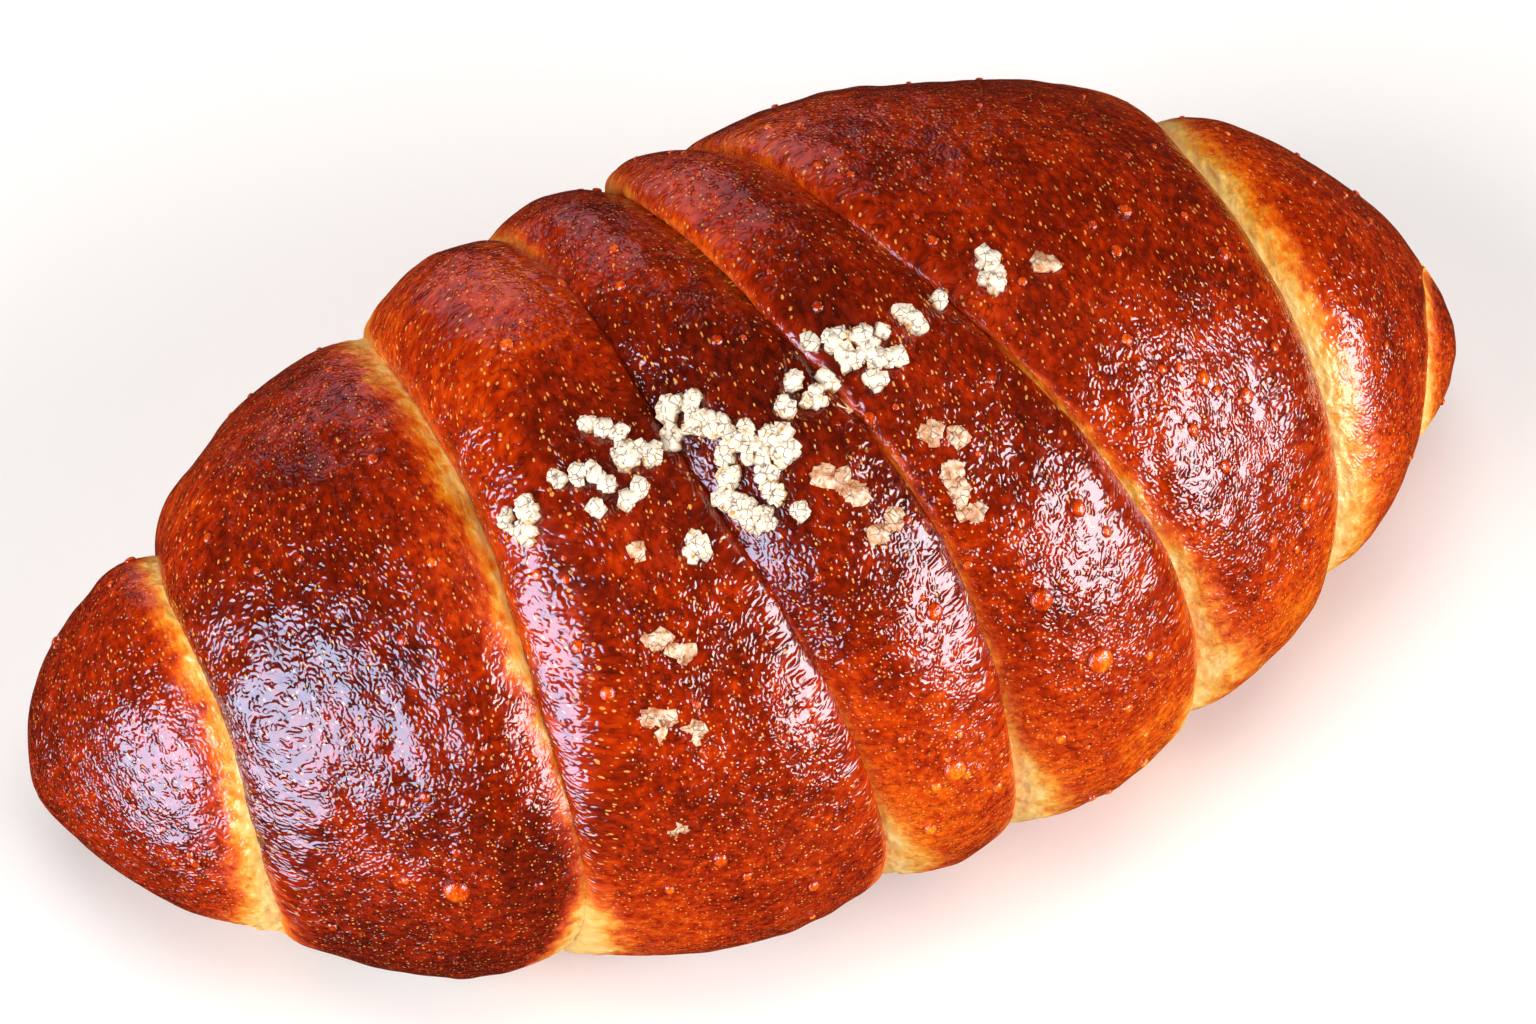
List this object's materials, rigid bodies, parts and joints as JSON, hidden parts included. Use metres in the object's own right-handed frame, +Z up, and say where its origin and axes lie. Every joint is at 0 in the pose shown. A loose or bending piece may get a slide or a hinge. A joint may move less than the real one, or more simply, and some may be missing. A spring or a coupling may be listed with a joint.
{
  "type": "spiral-rolled pretzel-dough roll with coarse salt",
  "caption": "Glossy brown spindle-shaped roll, wound in spiral turns with pale seams, flat underneath and sprinkled with coarse salt.",
  "frame": {"origin": "middle of the footprint, on the flat sole", "axes": "+X along the roll, +Y towards the back, +Z up from the sole"},
  "size_m": [0.15, 0.0778, 0.0558],
  "materials": {
    "crust": "glossy red-brown lye crust with fine orange flecks, paler orange flanks and pale cream-orange dough in the seams",
    "salt": "rough cream-white crystals of coarse baked-on salt"
  },
  "bodies": {
    "root": {"roll": "crust"}
  },
  "joints": []
}
